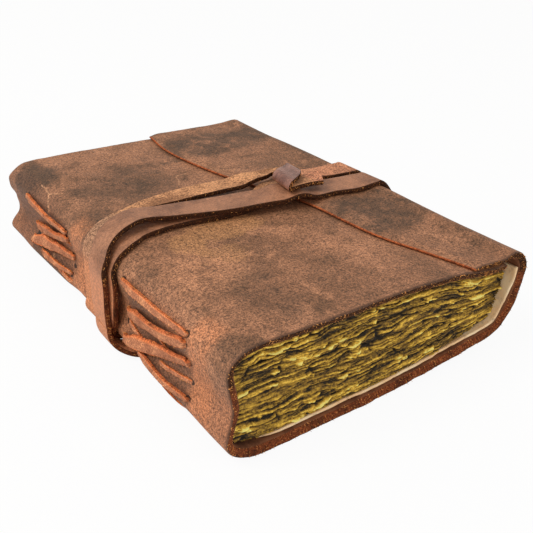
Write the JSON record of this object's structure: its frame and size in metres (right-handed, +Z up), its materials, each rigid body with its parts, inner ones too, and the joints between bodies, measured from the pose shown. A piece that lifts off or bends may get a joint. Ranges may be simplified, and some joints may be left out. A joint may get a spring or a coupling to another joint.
{
  "type": "leather journal",
  "caption": "Thick handmade notebook in a wrap-round leather cover with a fore-edge flap, laced spine, torn page edges and a wound and tied leather strap.",
  "frame": {"origin": "bottom centre of the bounding box, strap included", "axes": "+X from spine to fore edge, +Y along the spine from the near end to the far end, +Z up through the closed book"},
  "size_m": [0.1373, 0.18, 0.0492],
  "materials": {
    "cover_leather": "waxed brown pull-up leather, mottled",
    "strap_leather": "waxed brown leather with raw cut edges",
    "thong_leather": "orange tan raw leather",
    "lining_paper": "pale matt sheet",
    "pages": "rough handmade paper with torn olive and gold edges"
  },
  "bodies": {
    "root": {"cover": "cover_leather", "lining": "lining_paper", "page_block": "pages", "near_lacing": "thong_leather", "far_lacing": "thong_leather", "strap": "strap_leather"}
  },
  "joints": []
}
